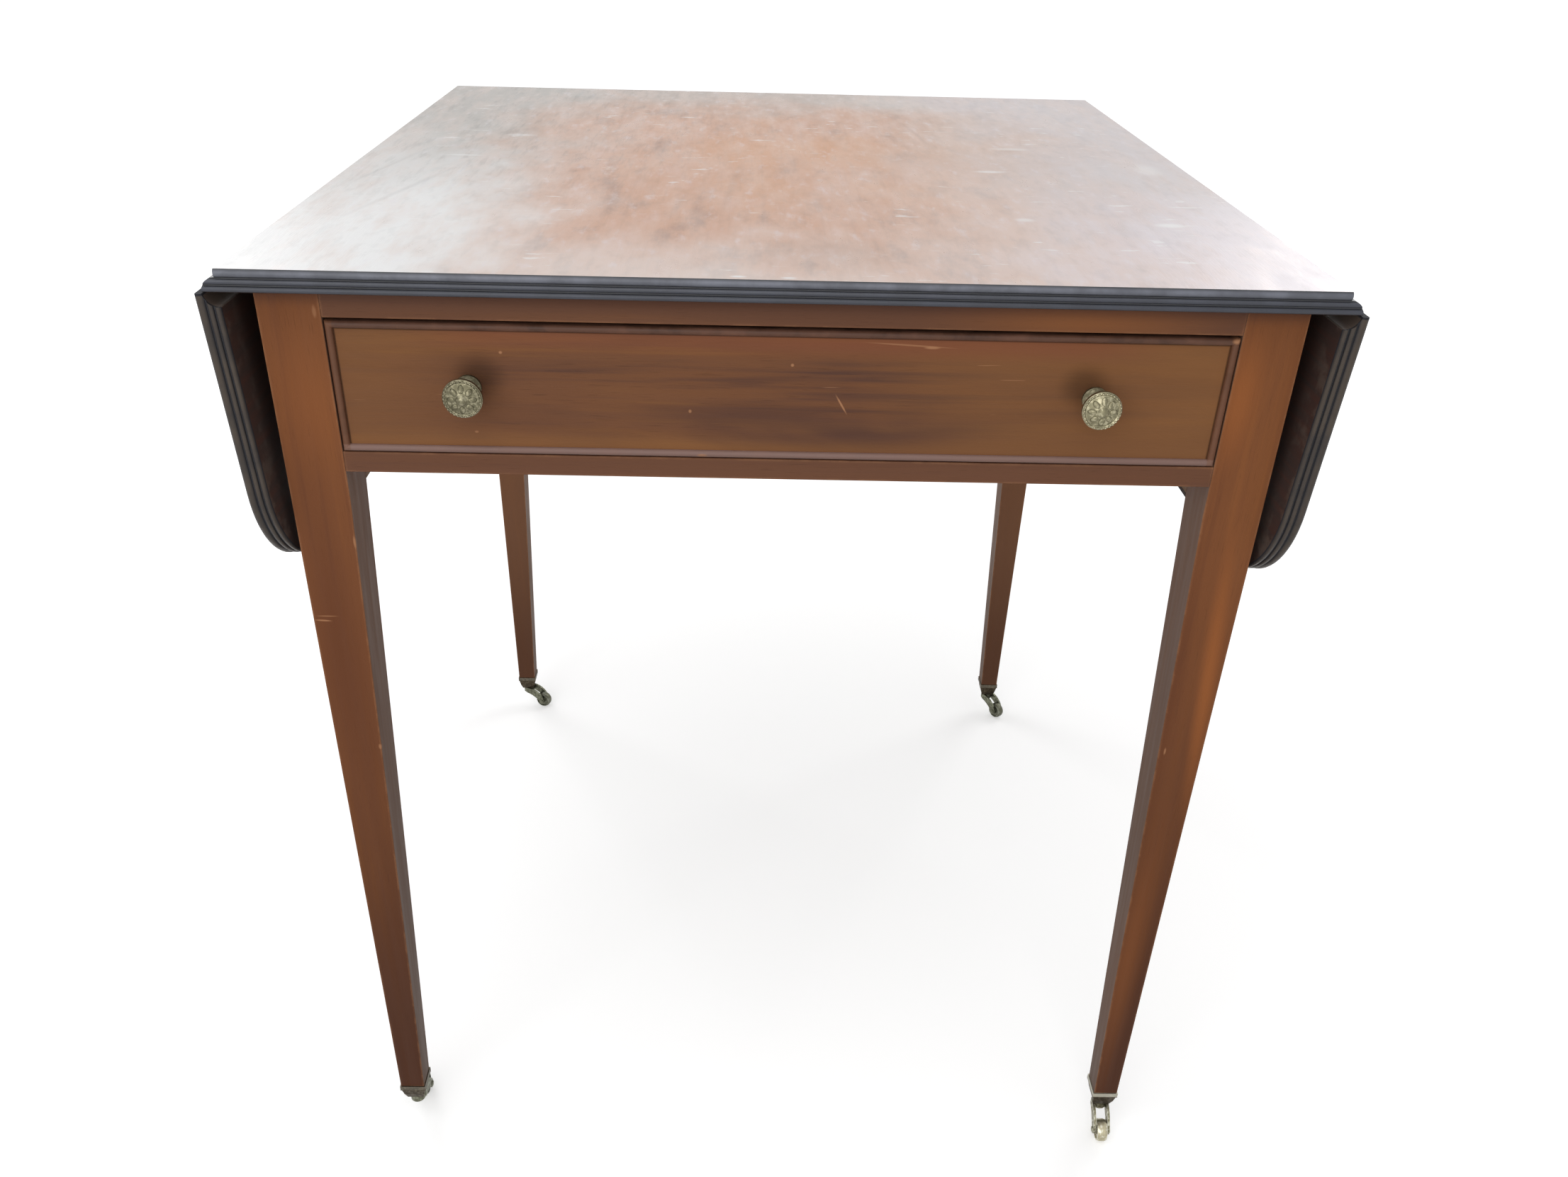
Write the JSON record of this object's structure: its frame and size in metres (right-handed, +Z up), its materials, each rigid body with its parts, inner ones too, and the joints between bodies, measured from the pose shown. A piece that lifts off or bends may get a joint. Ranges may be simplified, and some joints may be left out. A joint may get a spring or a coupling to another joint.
{
  "type": "pembroke table",
  "caption": "Small wooden drop-leaf table with a front drawer, hinged side leaves on rule joints, swinging leaf brackets and tapered legs on brass casters.",
  "frame": {"origin": "on the floor, under the middle of the table's overall box, with the leaves down and the drawer shut", "axes": "+Z up, -Y to the front where the drawer opens, +X to the right seen from the front"},
  "size_m": [0.6494, 0.666, 0.724],
  "materials": {
    "mahogany_top": "worn hazy polish over faded mahogany, dark reeded edges",
    "mahogany_leaf": "polished mahogany, dark reeded edges",
    "mahogany_frame": "satin mahogany",
    "mahogany_drawer": "satin mahogany, grain across",
    "mahogany_bead": "dull dark mahogany",
    "oak": "bare, unpolished",
    "antique_brass": "tarnished",
    "iron": "dark, aged"
  },
  "bodies": {
    "carcase": {"table_top": "mahogany_top", "leg_front_left": "mahogany_frame", "leg_front_right": "mahogany_frame", "leg_back_left": "mahogany_frame", "leg_back_right": "mahogany_frame", "upper_drawer_rail": "mahogany_frame", "lower_drawer_rail": "mahogany_frame", "back_apron": "mahogany_frame", "side_rail_left": "oak", "side_rail_right": "oak", "fly_rail_left": "oak", "fly_rail_right": "oak", "fly_rail_end_left": "oak", "fly_rail_end_right": "oak", "drawer_runner_left": "oak", "drawer_runner_right": "oak", "drawer_kicker_left": "oak", "drawer_kicker_right": "oak", "drawer_stops": "oak", "glue_blocks": "oak", "top_screws": "iron", "hinge_plates_top": "iron", "hinge_pins": "iron", "hinge_screws_top": "iron", "knuckle_pins": "iron", "caster_cups": "antique_brass"},
    "drawer": {"drawer_front": "mahogany_drawer", "drawer_side_left": "oak", "drawer_side_right": "oak", "drawer_back": "oak", "drawer_bottom": "oak", "cockbead_top": "mahogany_bead", "cockbead_bottom": "mahogany_bead", "cockbead_left": "mahogany_bead", "cockbead_right": "mahogany_bead", "knob_left": "antique_brass", "knob_right": "antique_brass", "knob_nuts": "iron"},
    "leaf_left_body": {"leaf_left": "mahogany_leaf", "hinge_plates_leaf_left": "iron", "hinge_screws_leaf_left": "iron"},
    "fly_left_body": {"fly_bracket_left": "oak"},
    "leaf_right_body": {"leaf_right": "mahogany_leaf", "hinge_plates_leaf_right": "iron", "hinge_screws_leaf_right": "iron"},
    "fly_right_body": {"fly_bracket_right": "oak"},
    "swivel_front_left": {"caster_fork_front_left": "antique_brass", "caster_axle_front_left": "antique_brass"},
    "wheel_front_left": {"caster_wheel_front_left": "antique_brass"},
    "swivel_front_right": {"caster_fork_front_right": "antique_brass", "caster_axle_front_right": "antique_brass"},
    "wheel_front_right": {"caster_wheel_front_right": "antique_brass"},
    "swivel_back_left": {"caster_fork_back_left": "antique_brass", "caster_axle_back_left": "antique_brass"},
    "wheel_back_left": {"caster_wheel_back_left": "antique_brass"},
    "swivel_back_right": {"caster_fork_back_right": "antique_brass", "caster_axle_back_right": "antique_brass"},
    "wheel_back_right": {"caster_wheel_back_right": "antique_brass"}
  },
  "joints": [
    {"name": "drawer_slide", "type": "slide", "parent": "carcase", "child": "drawer", "axis": [0, -1, 0], "range_m": [0, 0.33]},
    {"name": "leaf_left_swing", "type": "hinge", "parent": "carcase", "child": "leaf_left_body", "pos_m": [-0.312, 0.004, 0.7113], "axis": [0, 1, 0], "range_deg": [0, 93]},
    {"name": "fly_left_swing", "type": "hinge", "parent": "carcase", "child": "fly_left_body", "pos_m": [-0.282, -0.081, 0.642], "axis": [0, 0, 1], "range_deg": [0, 5]},
    {"name": "leaf_right_swing", "type": "hinge", "parent": "carcase", "child": "leaf_right_body", "pos_m": [0.312, 0.004, 0.7113], "axis": [0, -1, 0], "range_deg": [0, 93]},
    {"name": "fly_right_swing", "type": "hinge", "parent": "carcase", "child": "fly_right_body", "pos_m": [0.282, -0.081, 0.642], "axis": [0, 0, -1], "range_deg": [0, 5]},
    {"name": "swivel_front_left", "type": "hinge", "parent": "carcase", "child": "swivel_front_left", "pos_m": [-0.2885, -0.3005, 0.0225], "axis": [0, 0, 1], "continuous": true},
    {"name": "roll_front_left", "type": "hinge", "parent": "swivel_front_left", "child": "wheel_front_left", "pos_m": [-0.2892, -0.28051, 0.009], "axis": [-0.9994, -0.0349, 0], "continuous": true},
    {"name": "swivel_front_right", "type": "hinge", "parent": "carcase", "child": "swivel_front_right", "pos_m": [0.2885, -0.3005, 0.0225], "axis": [0, 0, 1], "continuous": true},
    {"name": "roll_front_right", "type": "hinge", "parent": "swivel_front_right", "child": "wheel_front_right", "pos_m": [0.2871, -0.32045, 0.009], "axis": [0.9976, -0.0698, 0], "continuous": true},
    {"name": "swivel_back_left", "type": "hinge", "parent": "carcase", "child": "swivel_back_left", "pos_m": [-0.2885, 0.3085, 0.0225], "axis": [0, 0, 1], "continuous": true},
    {"name": "roll_back_left", "type": "hinge", "parent": "swivel_back_left", "child": "wheel_back_left", "pos_m": [-0.26971, 0.30166, 0.009], "axis": [0.342, 0.9397, 0], "continuous": true},
    {"name": "swivel_back_right", "type": "hinge", "parent": "carcase", "child": "swivel_back_right", "pos_m": [0.2885, 0.3085, 0.0225], "axis": [0, 0, 1], "continuous": true},
    {"name": "roll_back_right", "type": "hinge", "parent": "swivel_back_right", "child": "wheel_back_right", "pos_m": [0.29997, 0.29212, 0.009], "axis": [0.8192, 0.5736, 0], "continuous": true}
  ]
}
